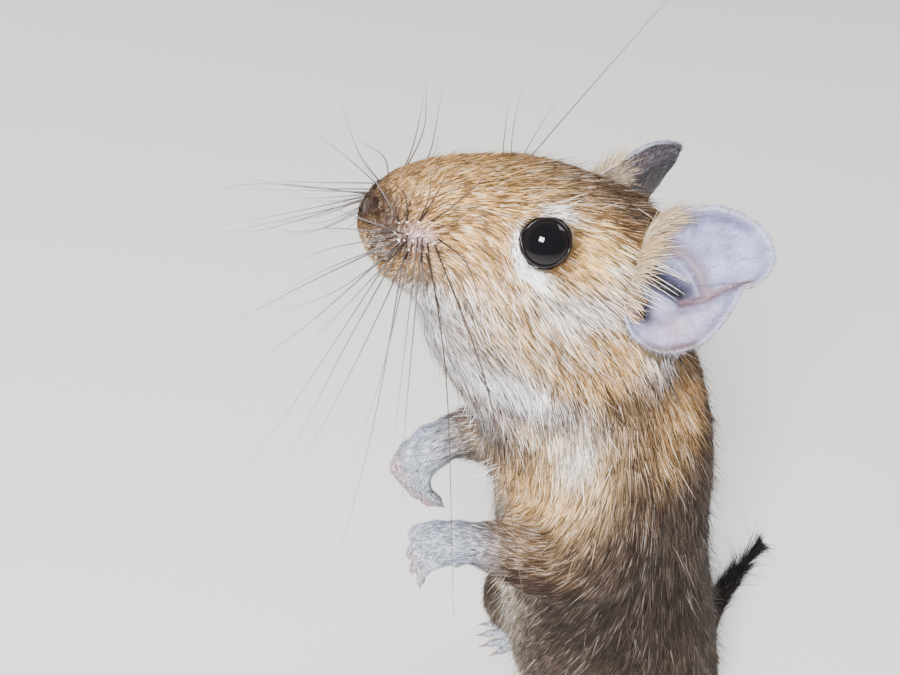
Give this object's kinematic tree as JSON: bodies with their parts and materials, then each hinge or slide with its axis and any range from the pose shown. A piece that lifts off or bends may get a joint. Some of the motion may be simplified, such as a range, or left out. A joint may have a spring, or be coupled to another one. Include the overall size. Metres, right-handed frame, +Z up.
{
  "type": "degu",
  "caption": "Life-size still model of a degu standing up on its hind feet, head lifted, forepaws held at its chest, tufted tail on the floor.",
  "frame": {"origin": "the middle of the box that the animal stands in, on the floor", "axes": "+Z up, -Y the way the animal faces, +X its left side"},
  "size_m": [0.11, 0.1566, 0.1894],
  "materials": {
    "coat": "short ticked golden brown fur",
    "pale_coat": "short cream fur",
    "foot_skin": "grey skin with very short pale hair",
    "ear_skin": "thin grey lilac skin",
    "nose_skin": "moist brown skin",
    "eye_black": "wet black",
    "whisker_pad": "pinkish skin with white and brown whiskers",
    "tail_coat": "blackish brown hair"
  },
  "bodies": {
    "root": {"head": "coat", "muzzle": "coat", "nose": "nose_skin", "lower_jaw": "pale_coat", "eye_left": "eye_black", "eye_right": "eye_black", "ear_left": "ear_skin", "ear_right": "ear_skin", "whiskers_left": "whisker_pad", "whiskers_right": "whisker_pad", "neck": "coat", "chest": "coat", "belly": "pale_coat", "rump": "coat", "upper_arm_left": "coat", "upper_arm_right": "coat", "forearm_left": "pale_coat", "forearm_right": "pale_coat", "forepaw_left": "foot_skin", "forepaw_right": "foot_skin", "thigh_left": "coat", "thigh_right": "coat", "shank_left": "coat", "shank_right": "coat", "hind_foot_left": "foot_skin", "hind_foot_right": "foot_skin", "tail_base": "tail_coat", "tail_middle": "tail_coat", "tail_brush": "tail_coat"}
  },
  "joints": []
}
